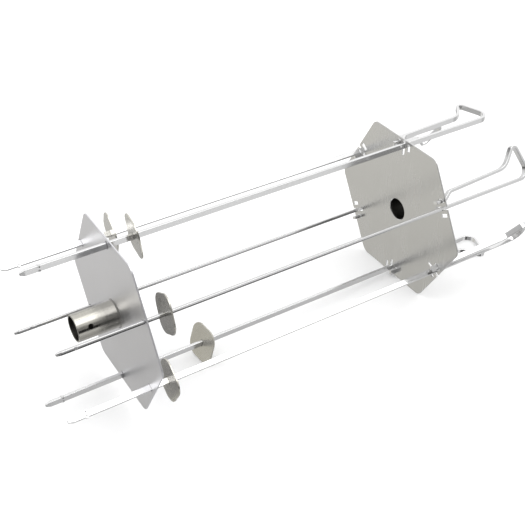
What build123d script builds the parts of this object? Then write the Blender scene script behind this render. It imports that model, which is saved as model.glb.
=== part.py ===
from build123d import *
import os
from math import cos, radians, sin, tan

# Six-skewer rotisserie carousel. Two hexagonal plates stand square to the spit
# and carry six flat-bar skewers parallel to it, one at the middle of each side.
# Frame: +X runs along the spit from the skewer points to the handles, +Z is up.
# The origin lies on the spit axis, in the outer face of the tip plate.

os.makedirs("parts", exist_ok=True)

# ---- plates -------------------------------------------------------------
corner_radius = 95.0  # centre of a plate to its corners before rounding
plate_thickness = 1.5
plate_rounding = 10.0  # rounding of the six corners
plate_edge_break = 0.25
plate_gap = 318.5  # between the two facing sides of the plates
flat_radius = corner_radius * cos(radians(30))  # centre to the middle of a side
hole_edge_break = 0.5  # spit hole, on the side facing the other plate

# ---- collars that the spit passes through --------------------------------
spit_bore_radius = 11.5
collar_wall = 1.5
collar_length = 40.0
collar_lip = 0.4
screw_hole_radius = 2.5
screw_hole_reach = 27.5  # plate face to the clamping screw hole
screw_hole_angle = 64.0
weld_leg = 1.2
weld_hollow = 0.42  # share of the leg left at the middle of the hollow bead

# ---- skewers ------------------------------------------------------------
skewer_circle = 75.5  # spit axis to the middle of each skewer
bar_width = 6.0  # lies along the radius
bar_thickness = 3.0
bar_crown = 0.26  # the narrow faces of rolled flat bar are a little rounded
bar_edge_radius = 0.4
tip_overhang = 77.0  # skewer point beyond the tip plate's outer face
point_length = 4.5
point_width = 2.6
point_thickness = 2.2
point_edge_break = 0.3
crimp_setback = 16.6  # point to the pair of ears pinched out of the bar
crimp_length = 3.2
crimp_ear = 0.6
crimp_thickness = 2.6
pinch_radius = 1.4  # round dents that the pinching tool leaves on both faces
pinch_depth = 0.5
pinch_offset = 1.7

# ---- handle, bent on from the bar --------------------------------------
handle_reach = 114.0  # plate to the corner where the bar turns up
handle_height = 38.0  # corner point of the raised end above the bar
handle_lean = 19.0  # end bar leans back towards the plate
throat_reach = 84.0  # where the returning leg levels out
throat_offset = 16.5  # returning leg beside the bar, at the throat
leg_offset = 13.5  # returning leg beside the bar, at the plate
joggle_reach = 10.5
lock_offset = 7.5  # locking end beside the bar
lock_start = 3.2
lock_depth = 7.0  # locking end past the plate's outer face
handle_radii = (10.0, 4.0, 18.0, 4.0, 4.0)

# ---- slots in the plates ------------------------------------------------
tip_slot_length = 8.4
tip_slot_width = 4.0
entry_slit_depth = 17.5  # open slit from the edge of the handle plate
entry_slit_width = 3.5
entry_slit_corner = 1.2
lock_slot_length = 8.6
lock_slot_width = 3.9
slot_corner = 0.6

# ---- pushers ------------------------------------------------------------
pusher_width = 36.4  # square sheet with broad round corners
pusher_corner = 12.0
pusher_thickness = 1.5
pusher_edge_break = 0.2
pusher_slot_length = 6.8
pusher_slot_width = 3.8
# skewer name: (angle round the spit, pusher's distance from the tip plate,
#               pusher's lean outwards, pusher's lean sideways)
stations = {
    "top": (0, 24.0, 5.0, 6.0),
    "upper_front": (60, 18.5, 2.0, 4.0),
    "lower_front": (120, 16.5, 2.0, 3.0),
    "bottom": (180, 84.0, 16.0, 5.0),
    "lower_back": (240, 24.0, 2.0, -3.0),
    "upper_back": (300, 28.0, -3.0, 6.0),
}

tip_inner_face = plate_thickness
handle_inner_face = tip_inner_face + plate_gap
handle_outer_face = handle_inner_face + plate_thickness
collar_radius = spit_bore_radius + collar_wall


def outward(angle):
    """Unit vector from the spit axis towards a station, 0 being straight up."""
    return Vector(0, -sin(radians(angle)), cos(radians(angle)))


def sideways(angle):
    """Unit vector along the side of the hexagon, towards the next station."""
    return Vector(0, -cos(radians(angle)), -sin(radians(angle)))


def section_plane(x):
    """Plane square to the spit at x, with its own +Y straight up."""
    return Plane(origin=(x, 0, 0), x_dir=(0, -1, 0), z_dir=(-1, 0, 0))


def station_plane(x, angle):
    """Plane square to the spit at a station, with its own +Y pointing outwards."""
    centre = outward(angle) * skewer_circle + Vector(x, 0, 0)
    return Plane(origin=centre, x_dir=sideways(angle), z_dir=(-1, 0, 0))


def make_plate(low_x, facing_x, label):
    """Hexagonal sheet with rounded corners, the spit hole and the skewer slots."""
    with BuildPart() as plate:
        with BuildSketch(section_plane(low_x + plate_thickness)) as outline:
            RegularPolygon(corner_radius, 6)
            fillet(outline.vertices(), plate_rounding)
        extrude(amount=plate_thickness)
        rims = plate.faces().filter_by(Axis.X).edges()
        chamfer(rims, plate_edge_break)
        with BuildSketch(section_plane(low_x + plate_thickness)):
            Circle(spit_bore_radius)
        extrude(amount=plate_thickness, mode=Mode.SUBTRACT)
        facing_face = plate.faces().filter_by(Axis.X).sort_by(Axis.X)[facing_x]
        hole_rim = facing_face.edges().filter_by(GeomType.CIRCLE).sort_by(SortBy.RADIUS)[-1]
        chamfer(hole_rim, hole_edge_break)
        for angle, *_ in stations.values():
            with BuildSketch(station_plane(low_x + plate_thickness, angle)):
                if label == "tip_plate":
                    RectangleRounded(tip_slot_width, tip_slot_length, slot_corner)
                else:
                    slit_end = flat_radius - entry_slit_depth - skewer_circle
                    slit_mouth = corner_radius - skewer_circle
                    with Locations((0, (slit_mouth + slit_end) / 2)):
                        RectangleRounded(entry_slit_width, slit_mouth - slit_end, entry_slit_corner)
                    with Locations((-lock_offset, 0), (lock_offset, 0)):
                        RectangleRounded(lock_slot_width, lock_slot_length, slot_corner)
            extrude(amount=plate_thickness, mode=Mode.SUBTRACT)
    plate.part.label = label
    return plate.part


def make_collar(face_x, direction, label):
    """Tube round the spit, standing out from a plate, with its screw hole."""
    with BuildPart() as collar:
        with BuildSketch(section_plane(face_x)):
            Circle(collar_radius)
            Circle(spit_bore_radius, mode=Mode.SUBTRACT)
        extrude(amount=-direction * collar_length)
        mouth = collar.faces().filter_by(Axis.X).sort_by(Axis.X)[-1 if direction > 0 else 0]
        chamfer(mouth.edges(), collar_lip)
        hole_x = face_x + direction * screw_hole_reach
        hole_plane = Plane(origin=(hole_x, 0, 0), x_dir=(1, 0, 0), z_dir=outward(screw_hole_angle))
        with BuildSketch(hole_plane):
            Circle(screw_hole_radius)
        extrude(amount=2 * collar_radius, mode=Mode.SUBTRACT)
    collar.part.label = label
    return collar.part


def make_weld(face_x, direction, label):
    """Bead of weld in the corner between a collar and its plate."""
    hollow = weld_leg * weld_hollow
    with BuildPart() as weld:
        with BuildSketch(Plane.XZ):
            with BuildLine():
                Polyline(
                    (face_x, collar_radius),
                    (face_x, collar_radius + weld_leg),
                )
                ThreePointArc(
                    (face_x, collar_radius + weld_leg),
                    (face_x + direction * hollow, collar_radius + hollow),
                    (face_x + direction * weld_leg, collar_radius),
                )
                Line((face_x + direction * weld_leg, collar_radius), (face_x, collar_radius))
            make_face()
        revolve(axis=Axis.X)
    weld.part.label = label
    return weld.part


def make_skewer(angle, label):
    """Flat bar with a point at one end and the bent handle at the other."""
    half_thickness = bar_thickness / 2
    half_width = bar_width / 2
    shoulder = half_width - bar_crown
    foot = outward(angle) * skewer_circle + Vector(handle_outer_face, 0, 0)
    bend_plane = Plane(origin=foot, x_dir=(1, 0, 0), z_dir=outward(angle))
    broadside_plane = Plane(origin=foot, x_dir=(1, 0, 0), z_dir=sideways(angle))
    point_x = -(handle_outer_face + tip_overhang)
    bar_x = point_x + point_length
    crimp_x = point_x + crimp_setback
    route = (
        (bar_x, 0),
        (handle_reach, 0),
        (handle_reach - handle_height * tan(radians(handle_lean)), handle_height),
        (throat_reach, throat_offset),
        (joggle_reach, leg_offset),
        (lock_start, lock_offset),
        (-plate_thickness - lock_depth, lock_offset),
    )
    with BuildPart() as skewer:
        with BuildLine(bend_plane):
            FilletPolyline(*route, radius=handle_radii)
        with BuildSketch(station_plane(handle_outer_face + bar_x, angle)) as bar_section:
            with BuildLine():
                Line((half_thickness, -shoulder), (half_thickness, shoulder))
                ThreePointArc(
                    (half_thickness, shoulder),
                    (0, half_width),
                    (-half_thickness, shoulder),
                )
                Line((-half_thickness, shoulder), (-half_thickness, -shoulder))
                ThreePointArc(
                    (-half_thickness, -shoulder),
                    (0, -half_width),
                    (half_thickness, -shoulder),
                )
            make_face()
            fillet(bar_section.vertices(), bar_edge_radius)
        sweep()
        cut_ends = skewer.faces().filter_by(Axis.X).sort_by(Axis.X)
        chamfer(cut_ends[-1].edges(), point_edge_break)
        point_plane = station_plane(handle_outer_face + point_x, angle)
        with BuildSketch(point_plane, mode=Mode.PRIVATE) as point_section:
            RectangleRounded(point_thickness, point_width, bar_edge_radius)
        loft(sections=[cut_ends[0], point_section.sketch.face()])
        chamfer(skewer.faces().sort_by(Axis.X)[0].edges(), point_edge_break)
        with BuildSketch(broadside_plane.offset(-crimp_thickness / 2)):
            for side in (1, -1):
                with BuildLine():
                    Polyline(
                        (crimp_x - crimp_length / 2, side * (half_width - crimp_ear)),
                        (crimp_x - crimp_length / 4, side * (half_width + crimp_ear)),
                        (crimp_x + crimp_length / 4, side * (half_width + crimp_ear)),
                        (crimp_x + crimp_length / 2, side * (half_width - crimp_ear)),
                        close=True,
                    )
                make_face()
        extrude(amount=crimp_thickness)
        crimp_centre = foot + Vector(crimp_x, 0, 0)
        dent_height = half_thickness + pinch_radius - pinch_depth
        for edge in (1, -1):
            for face in (1, -1):
                across = outward(angle) * edge * pinch_offset
                above = sideways(angle) * face * dent_height
                with Locations(crimp_centre + across + above):
                    Sphere(pinch_radius, mode=Mode.SUBTRACT)
    skewer.part.label = label
    return skewer.part


def make_pusher(angle, reach, lean_out, lean_side, label):
    """Small plate that slides on a skewer and sits a little askew on it."""
    centre = outward(angle) * skewer_circle + Vector(tip_inner_face + reach, 0, 0)
    normal = (
        Vector(1, 0, 0)
        + outward(angle) * tan(radians(lean_out))
        + sideways(angle) * tan(radians(lean_side))
    )
    sheet_plane = Plane(origin=centre, x_dir=sideways(angle).cross(normal), z_dir=normal)
    with BuildPart() as pusher:
        with BuildSketch(sheet_plane.offset(-pusher_thickness / 2)):
            RectangleRounded(pusher_width, pusher_width, pusher_corner)
        extrude(amount=pusher_thickness)
        chamfer(pusher.edges(), pusher_edge_break)
        with BuildSketch(station_plane(centre.X, angle)):
            RectangleRounded(pusher_slot_width, pusher_slot_length, slot_corner)
        extrude(amount=pusher_width, both=True, mode=Mode.SUBTRACT)
    pusher.part.label = label
    return pusher.part


pieces = [
    make_plate(0, -1, "tip_plate"),
    make_collar(0, -1, "tip_collar"),
    make_weld(0, -1, "tip_collar_weld"),
    make_plate(handle_inner_face, 0, "handle_plate"),
    make_collar(handle_outer_face, 1, "handle_collar"),
    make_weld(handle_outer_face, 1, "handle_collar_weld"),
]
for station, (angle, reach, lean_out, lean_side) in stations.items():
    pieces.append(make_skewer(angle, f"skewer_{station}"))
    pieces.append(make_pusher(angle, reach, lean_out, lean_side, f"pusher_{station}"))

for piece in pieces:
    export_step(piece, f"parts/{piece.label}.step")
    box = piece.bounding_box()
    print(piece.label, len(piece.solids()), round(piece.volume, 1), box.min, box.max)
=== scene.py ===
from math import atan2, cos, pi, radians, sin, sqrt

import bpy
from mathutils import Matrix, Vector


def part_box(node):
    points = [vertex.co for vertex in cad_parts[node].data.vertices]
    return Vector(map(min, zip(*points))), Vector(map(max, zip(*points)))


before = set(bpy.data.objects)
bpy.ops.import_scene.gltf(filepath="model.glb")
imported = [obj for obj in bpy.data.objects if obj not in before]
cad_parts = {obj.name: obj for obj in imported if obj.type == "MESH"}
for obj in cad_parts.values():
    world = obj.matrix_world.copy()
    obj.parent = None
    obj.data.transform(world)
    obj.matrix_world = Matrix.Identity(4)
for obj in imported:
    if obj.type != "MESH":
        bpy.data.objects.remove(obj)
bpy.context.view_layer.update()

# The visual model is the CAD part itself: every piece is painted as bare steel
# and nothing is added to it. The rest is the camera, the floor and the studio.

MM = 0.001

# ---- camera ---------------------------------------------------------------
VIEW_AZIMUTH = radians(-31.71)  # from the front (-Y) towards +X
VIEW_ELEVATION = radians(37.01)
VIEW_DISTANCE = 0.895
AIM_OFFSET = Vector((-5.5 * MM, 0, -4.4 * MM))  # aim point from the spit's middle
LENS = 63.3
SENSOR_WIDTH = 36
CLIP_RANGE = (0.01, 20)

# ---- floor ----------------------------------------------------------------
FLOOR_HALF = 2.5
FLOOR_CLEARANCE = 0.3 * MM
FLOOR_LEVEL = 0.86

# ---- lamps: (name, place from the spit's middle, size, power) ---------------
LAMPS = (
    ("overhead", (-0.15, 0.25, 1.6), 1.8, 7),
    ("key", (0.9, -0.5, 1.3), 0.8, 2),
)
FILL_STRENGTH = 1.4  # the even white that lights the floor

# ---- reflected studio -------------------------------------------------------
# turn is a direction's angle in degrees from straight up towards the front;
# along, across and up are its shares along +X, +Y and +Z. Each pair is a soft
# edge: where a region starts to change and where the change is complete.
BASE_SPAN = (-0.9, 0.9)  # up
BASE_LEVELS = (0.82, 0.90)

CEILING_BACK = (-85, -62)  # turn
CEILING_FRONT = (34, 42)  # turn
CEILING_GAIN = 0.25

BOX_BACK = (-24, -8)  # turn
BOX_FRONT = (30, 40)  # turn
BOX_SLANT = -0.006  # along per degree of turn
BOX_FAR_END = (0.40, 0.48)  # slanted along
BOX_GAIN = 1.4

NEAR_END = (-0.49, -0.41)  # along
NEAR_END_HEIGHT = (0.10, 0.30)  # up
NEAR_END_LEFT = 0.50

ROOM_TOP = (39, 46)  # turn
ROOM_SLANT = 100.0  # degrees of turn per along
ROOM_BOTTOM = (126, 136)  # slanted turn
ROOM_END = (0.02, 0.16)  # along
ROOM_SIDE = (-0.55, -0.25)  # along
ROOM_SIDE_SHARE = 0.45
ROOM_LEFT = 0.10

GAP_TOP = (79, 84)  # turn
GAP_BOTTOM = (103, 109)  # turn
GAP_END = (0.46, 0.64)  # along
GAP_LEFT = 0.02

CORNER_TOP = (52, 60)  # turn
CORNER_END = (0.28, 0.34)  # along
CORNER_LEFT = 0.30

FRONT_TOP = (38, 46)  # turn
FRONT_BOTTOM = (78, 84)  # turn
FRONT_START = (0.30, 0.38)  # along
FRONT_LEFT = 0.86

LOW_TOP = (129, 133)  # turn
LOW_BOTTOM = (160, 172)  # turn
LOW_LEFT = 0.68

BACK_FLOOR_ACROSS = (0.30, 0.50)  # across
BACK_FLOOR_UP = (-0.78, -0.46)  # up
BACK_FLOOR_LEFT = 0.58

# round shades: (direction, inner degrees, outer degrees, brightness left)
SHADES = (
    ((0.36, 0.72, -0.60), 5, 18, 0.36),  # the floor behind the part
    ((-0.85, 0.50, -0.10), 8, 22, 0.75),  # the sweep at its left end
    ((0.42, 0.12, -0.90), 20, 40, 0.72),  # the floor right below
)
WARM_SPOT = ((-0.60, 0.60, -0.50), 5, 30)

# ---- steel ------------------------------------------------------------------
GRAIN_SPAN = (0.3, 0.7)  # the part of a noise's range that is used
CLOUD_SPAN = (0.35, 0.65)
CLOUD_SCALE = 26
CLOUD_SHARE = 0.6  # blotches of the soft cloud against those of the grain
CLOUD_ROUGHNESS = 0.03
FINE_SHARE = 0.65
COARSE_SHARE = 0.35
HAIR_TONE = 0.12
HAIR_ROUGHNESS = 0.10
HAIR_DEPTH = 0.4
HAIR_WIDTH = 0.006
RELIEF_DEPTH = 0.00005
TUBE_WALL = (11.9 * MM, 11.6 * MM)  # from the bright outside to the inside wall, which is darkened with painted shade
TUBE_ROUGHNESS = 0.2


def grey(level, warm=0.0, lilac=0.0):
    """A grey of that linear level, yellowish where warm is above 0, and less green with lilac."""
    return (level * (1 + warm * 0.3), level * (1 - lilac), level * (1 - warm), 1)


# the collar's inside wall: a duller unpolished wall, darkened further with painted shade of the
# tube's hollow
INNER_WALL_AND_PAINTED_SHADE = grey(0.10, 0.08)
ROOM_WHITE = grey(1.0)
ROOM_WARM = grey(0.90, 0.06)

tip_low, tip_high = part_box("tip_plate")
handle_low, handle_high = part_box("handle_plate")
pusher_low, pusher_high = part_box("pusher_bottom")
spit_middle = Vector(((tip_low.x + handle_high.x) / 2, 0, 0))


class Graph:
    """Short names for building one node tree."""

    def __init__(self, tree):
        self.tree = tree
        tree.nodes.clear()

    def node(self, kind, inputs=None, **settings):
        made = self.tree.nodes.new(kind)
        for key, value in settings.items():
            setattr(made, key, value)
        for key, value in (inputs or {}).items():
            self.set(made.inputs[key], value)
        return made

    def set(self, socket, value):
        if isinstance(value, bpy.types.NodeSocket):
            self.tree.links.new(value, socket)
        else:
            socket.default_value = value

    def math(self, operation, a, b=0.0, clamp=False):
        made = self.node("ShaderNodeMath", {0: a, 1: b}, operation=operation)
        made.use_clamp = clamp
        return made.outputs[0]

    def times(self, a, b, clamp=False):
        return self.math("MULTIPLY", a, b, clamp)

    def plus(self, a, b, clamp=False):
        return self.math("ADD", a, b, clamp)

    def vector(self, operation, a, b=(0, 0, 0)):
        made = self.node("ShaderNodeVectorMath", {0: a, 1: b}, operation=operation)
        return made.outputs["Value" if operation in ("LENGTH", "DOT_PRODUCT") else 0]

    def remap(self, value, span, results, smooth=False):
        """Carries a span of a value over to another one, and holds it at the ends."""
        made = self.node(
            "ShaderNodeMapRange",
            {
                "Value": value,
                "From Min": span[0],
                "From Max": span[1],
                "To Min": results[0],
                "To Max": results[1],
            },
            interpolation_type="SMOOTHSTEP" if smooth else "LINEAR",
        )
        return made.outputs["Result"]

    def swing(self, value, span, middle, reach):
        """A value that swings by reach about middle as another crosses its span."""
        return self.remap(value, span, (middle - reach, middle + reach))

    def mix(self, share, a, b, blend="MIX"):
        made = self.node("ShaderNodeMix", data_type="RGBA", blend_type=blend)
        self.set(made.inputs[0], share)
        self.set(made.inputs[6], a)
        self.set(made.inputs[7], b)
        return made.outputs[2]

    def shaded(self, colour, level):
        """A colour times a grey level."""
        tone = self.node("ShaderNodeCombineColor", {0: level, 1: level, 2: level}).outputs[0]
        return self.mix(1.0, colour, tone, "MULTIPLY")

    def place(self):
        return self.node("ShaderNodeTexCoord").outputs["Object"]

    def noise(self, place, scale, detail, rough=0.6):
        made = self.node(
            "ShaderNodeTexNoise",
            {"Vector": place, "Scale": scale, "Detail": detail, "Roughness": rough},
        )
        return made.outputs["Fac"]

    def stretched(self, scale, stretch, detail, rough, offset=(0, 0, 0)):
        """Noise drawn out along the axes where stretch is small."""
        mapped = self.node(
            "ShaderNodeMapping",
            {"Vector": self.place(), "Scale": stretch, "Location": offset},
        )
        return self.noise(mapped.outputs[0], scale, detail, rough)

    def from_line(self, middle):
        """Offset from a line through middle along the spit."""
        offset = self.vector("SUBTRACT", self.place(), tuple(middle))
        return self.vector("MULTIPLY", offset, (0, 1, 1))

    def reach(self, middle):
        """Distance from a line through middle along the spit."""
        return self.vector("LENGTH", self.from_line(middle))

    def ringed(self, middle, scale, turns):
        """Noise that changes quickly with the distance from middle and slowly round it."""
        heading = self.vector("NORMALIZE", self.from_line(middle))
        parts = self.node("ShaderNodeSeparateXYZ", {"Vector": heading})
        outwards = self.times(self.reach(middle), scale)
        across = self.times(parts.outputs[1], turns)
        up = self.times(parts.outputs[2], turns)
        joined = self.node("ShaderNodeCombineXYZ", {0: outwards, 1: across, 2: up})
        return self.noise(joined.outputs[0], 1.0, 3.0)

    def hairs(self, stretch, scale, seed):
        """Thin broken lines, 1 on a line and 0 between."""
        drawn = self.stretched(scale, stretch, 1.0, 0.4, (seed, seed * 3, seed * 7))
        band = self.math("ABSOLUTE", self.math("SUBTRACT", drawn, 0.5))
        line = self.remap(band, (0.0, HAIR_WIDTH), (1.0, 0.0))
        where = self.stretched(45, (1, 1, 1), 1.0, 0.4, (seed * 5, seed, seed * 2))
        return self.times(line, self.remap(where, (0.52, 0.62), (0.0, 1.0)))


def aim(thing, direction):
    """Turns a camera or a lamp, which look along their own -Z, to a direction."""
    thing.rotation_mode = "QUATERNION"
    thing.rotation_quaternion = direction.to_track_quat("-Z", "Y")


def make_camera():
    data = bpy.data.cameras.new("camera")
    data.lens = LENS
    data.sensor_width = SENSOR_WIDTH
    data.clip_start, data.clip_end = CLIP_RANGE
    camera = bpy.data.objects.new("camera", data)
    bpy.context.scene.collection.objects.link(camera)
    bpy.context.scene.camera = camera
    level_reach = cos(VIEW_ELEVATION)
    back = Vector((
        sin(VIEW_AZIMUTH) * level_reach,
        -cos(VIEW_AZIMUTH) * level_reach,
        sin(VIEW_ELEVATION),
    ))
    camera.location = spit_middle + AIM_OFFSET + back * VIEW_DISTANCE
    aim(camera, -back)


def make_floor():
    """The pale floor under the part, which leans on its lowest pusher and its handle plate."""
    pusher_x = (pusher_low.x + pusher_high.x) / 2
    slope = atan2(handle_low.z - pusher_low.z, handle_low.x - pusher_x)
    mesh = bpy.data.meshes.new("floor")
    half = FLOOR_HALF
    corners = [(-half, -half, 0), (half, -half, 0), (half, half, 0), (-half, half, 0)]
    mesh.from_pydata(corners, [], [(0, 1, 2, 3)])
    material = bpy.data.materials.new("floor")
    material.use_nodes = True
    graph = Graph(material.node_tree)
    shader = graph.node("ShaderNodeBsdfDiffuse", {"Color": grey(FLOOR_LEVEL)})
    graph.node("ShaderNodeOutputMaterial", {"Surface": shader.outputs[0]})
    mesh.materials.append(material)
    floor = bpy.data.objects.new("floor", mesh)
    bpy.context.scene.collection.objects.link(floor)
    floor.location = (pusher_x, 0, pusher_low.z - FLOOR_CLEARANCE)
    floor.rotation_euler = (0, -slope, 0)
    floor.visible_glossy = False


def make_lamp(name, offset, size, power):
    """A square soft lamp over the part, which the steel does not reflect."""
    data = bpy.data.lights.new(name, "AREA")
    data.shape = "RECTANGLE"
    data.size = size
    data.size_y = size
    data.energy = power
    lamp = bpy.data.objects.new(name, data)
    bpy.context.scene.collection.objects.link(lamp)
    lamp.location = spit_middle + Vector(offset)
    lamp.visible_glossy = False
    aim(lamp, -Vector(offset))


def studio_level(graph, direction):
    """Brightness of the reflected studio in each direction."""
    parts = graph.node("ShaderNodeSeparateXYZ", {"Vector": direction})
    along, across, up = parts.outputs
    frontward = graph.times(across, -1.0)
    turn = graph.times(graph.math("ARCTAN2", frontward, up), 180 / pi)

    def rising(value, span):
        return graph.remap(value, span, (0.0, 1.0), smooth=True)

    def falling(value, span):
        return graph.remap(value, span, (1.0, 0.0), smooth=True)

    def both(*shares):
        product = shares[0]
        for share in shares[1:]:
            product = graph.times(product, share)
        return product

    def brighten(level, share, gain):
        return graph.plus(level, graph.times(share, gain))

    def darken(level, share, left):
        return graph.times(level, graph.remap(share, (0, 1), (1.0, left)))

    level = graph.remap(up, BASE_SPAN, BASE_LEVELS)
    # a pale ceiling, and a long soft box over the spit with a slanted far end
    ceiling = both(rising(turn, CEILING_BACK), falling(turn, CEILING_FRONT))
    level = brighten(level, ceiling, CEILING_GAIN)
    slanted_along = graph.plus(along, graph.times(turn, BOX_SLANT))
    box = both(
        rising(turn, BOX_BACK),
        falling(turn, BOX_FRONT),
        falling(slanted_along, BOX_FAR_END),
        rising(along, NEAR_END),
    )
    level = brighten(level, box, BOX_GAIN)
    # past the near end of the box the ceiling is in shade
    near_end = both(falling(along, NEAR_END), rising(up, NEAR_END_HEIGHT))
    level = darken(level, near_end, NEAR_END_LEFT)
    # the unlit room in front, seen past the left end of the white sweep
    slanted_turn = graph.plus(turn, graph.times(along, ROOM_SLANT))
    room = both(
        rising(turn, ROOM_TOP),
        falling(slanted_turn, ROOM_BOTTOM),
        falling(along, ROOM_END),
        graph.remap(along, ROOM_SIDE, (ROOM_SIDE_SHARE, 1.0)),
    )
    level = darken(level, room, ROOM_LEFT)
    # the dark gap between the sweep and the front light, and its corner at the room
    gap = both(rising(turn, GAP_TOP), falling(turn, GAP_BOTTOM), falling(along, GAP_END))
    level = darken(level, gap, GAP_LEFT)
    corner = both(
        rising(turn, CORNER_TOP),
        falling(turn, GAP_TOP),
        rising(along, ROOM_END),
        falling(along, CORNER_END),
    )
    level = darken(level, corner, CORNER_LEFT)
    # the front light, a little less bright than the sweep
    front = both(
        rising(turn, FRONT_TOP),
        falling(turn, FRONT_BOTTOM),
        rising(along, FRONT_START),
    )
    level = darken(level, front, FRONT_LEFT)
    # the floor in front, below the bright sweep
    low_front = both(rising(turn, LOW_TOP), falling(turn, LOW_BOTTOM))
    level = darken(level, low_front, LOW_LEFT)
    for axis, inner, outer, left in SHADES:
        level = darken(level, lobe(graph, direction, axis, inner, outer), left)
    # the floor at the back, darker towards the part
    back_floor = both(rising(across, BACK_FLOOR_ACROSS), falling(up, BACK_FLOOR_UP))
    return darken(level, back_floor, BACK_FLOOR_LEFT)


def lobe(graph, direction, axis, inner, outer):
    """1 within inner degrees of an axis, falling to 0 at outer degrees."""
    length = sqrt(sum(share * share for share in axis))
    facing = graph.vector("DOT_PRODUCT", direction, tuple(share / length for share in axis))
    span = (cos(radians(outer)), cos(radians(inner)))
    return graph.remap(facing, span, (0.0, 1.0), smooth=True)


def make_world():
    """A white studio: an even fill for the floor, and dark and bright regions in the reflections."""
    world = bpy.data.worlds.new("studio")
    bpy.context.scene.world = world
    world.use_nodes = True
    graph = Graph(world.node_tree)
    direction = graph.node("ShaderNodeTexCoord").outputs["Generated"]
    level = studio_level(graph, direction)
    tint = graph.mix(lobe(graph, direction, *WARM_SPOT), ROOM_WHITE, ROOM_WARM)
    colour = graph.shaded(tint, level)
    seen = graph.node("ShaderNodeBackground", {"Color": colour, "Strength": 1.0})
    fill = graph.node("ShaderNodeBackground", {"Color": ROOM_WHITE, "Strength": FILL_STRENGTH})
    path = graph.node("ShaderNodeLightPath")
    joined = graph.node(
        "ShaderNodeMixShader",
        {0: path.outputs["Is Glossy Ray"], 1: fill.outputs[0], 2: seen.outputs[0]},
    )
    graph.node("ShaderNodeOutputWorld", {"Surface": joined.outputs[0]})


def metal(name, colour, rough, grain_scale, relief, stretch=None, rings=None,
          rough_swing=0.08, blotch=0.05, scratches=0.3, tube=None):
    """Bare steel with grain, soft blotches and fine handling scratches.

    The grain is drawn out by stretch, or runs round the line through rings. Where tube is
    given, the wall that faces the line through it is rough as unpolished tube, and its
    colour is darkened with painted shade of the tube's hollow.
    """
    material = bpy.data.materials.new(name)
    material.use_nodes = True
    graph = Graph(material.node_tree)
    if rings is None:
        fine = graph.stretched(grain_scale, stretch, 4.0, 0.65)
        coarse = graph.stretched(grain_scale * 0.22, stretch, 2.0, 0.5, (3, 7, 1))
    else:
        fine = graph.ringed(rings, grain_scale, 1.6)
        coarse = graph.ringed(rings, grain_scale * 0.3, 0.8)
    grain = graph.plus(graph.times(fine, FINE_SHARE), graph.times(coarse, COARSE_SHARE))
    cloud = graph.stretched(CLOUD_SCALE, (1, 1, 1), 2.0, 0.5, (5, 2, 9))
    hair = graph.plus(graph.hairs((1, 30, 7), 60, 0.4), graph.hairs((1, 9, 28), 50, 2.1))
    hair = graph.times(hair, scratches, clamp=True)

    shade = graph.times(
        graph.swing(grain, GRAIN_SPAN, 1.0, blotch),
        graph.swing(cloud, CLOUD_SPAN, 1.0, blotch * CLOUD_SHARE),
    )
    shade = graph.plus(shade, graph.times(hair, HAIR_TONE))
    colour = graph.shaded(colour, shade)

    roughness = graph.swing(grain, GRAIN_SPAN, rough, rough_swing)
    roughness = graph.plus(roughness, graph.swing(cloud, CLOUD_SPAN, 0.0, CLOUD_ROUGHNESS))
    roughness = graph.plus(roughness, graph.times(hair, HAIR_ROUGHNESS), clamp=True)
    if tube is not None:
        # painted shade: the tube's inside wall gets a dark colour, besides the real extra roughness
        # of unpolished tube
        inside = graph.remap(graph.reach(tube), TUBE_WALL, (0.0, 1.0))
        colour = graph.mix(inside, colour, INNER_WALL_AND_PAINTED_SHADE)
        roughness = graph.plus(roughness, graph.times(inside, TUBE_ROUGHNESS), clamp=True)

    height = graph.math("SUBTRACT", grain, graph.times(hair, HAIR_DEPTH))
    bump = graph.node(
        "ShaderNodeBump",
        {"Height": height, "Strength": relief, "Distance": RELIEF_DEPTH},
    )
    shader = graph.node(
        "ShaderNodeBsdfPrincipled",
        {
            "Base Color": colour,
            "Metallic": 1.0,
            "Roughness": roughness,
            "Normal": bump.outputs[0],
        },
    )
    graph.node("ShaderNodeOutputMaterial", {"Surface": shader.outputs[0]})
    return material


def local_middle(node):
    """Middle of a CAD node in its own coordinates."""
    low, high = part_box(node)
    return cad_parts[node].matrix_world.inverted() @ ((Vector(low) + Vector(high)) / 2)


def paint(node, material):
    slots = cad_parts[node].data.materials
    for index in range(len(slots)):
        slots[index] = material


make_camera()
make_world()
for lamp in LAMPS:
    make_lamp(*lamp)
make_floor()
bpy.context.scene.view_settings.view_transform = "Standard"

tip_plate_steel = metal(
    "tip_plate_steel", grey(0.74, -0.02, 0.008), 0.38, 900, 0.08,
    stretch=(1, 1, 0.02), rough_swing=0.04, blotch=0.02, scratches=0.1,
)
handle_plate_steel = metal(
    "handle_plate_steel", grey(0.67, 0.01), 0.25, 900, 0.14,
    stretch=(1, 1, 0.02), rough_swing=0.04, blotch=0.03, scratches=0.2,
)
# the collar's inside wall is darkened with painted shade of its hollow
collar_steel = metal(
    "collar_steel", grey(0.50, 0.09), 0.20, 700, 0.15,
    stretch=(1, 0.05, 0.05), tube=local_middle("tip_collar"),
)
weld_steel = metal("weld_steel", grey(0.28, 0.05), 0.38, 500, 0.6, stretch=(1, 1, 1))
skewer_steel = metal(
    "skewer_steel", grey(0.78), 0.14, 900, 0.10,
    stretch=(0.02, 1, 1), blotch=0.03,
)

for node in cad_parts:
    if "weld" in node:
        paint(node, weld_steel)
    elif "collar" in node:
        paint(node, collar_steel)
    elif node == "tip_plate":
        paint(node, tip_plate_steel)
    elif node == "handle_plate":
        paint(node, handle_plate_steel)
    elif "pusher" in node:
        pusher_steel = metal(
            node + "_steel", grey(0.58, 0.09), 0.26, 2600, 0.3,
            rings=local_middle(node), blotch=0.08,
        )
        paint(node, pusher_steel)
    else:
        paint(node, skewer_steel)
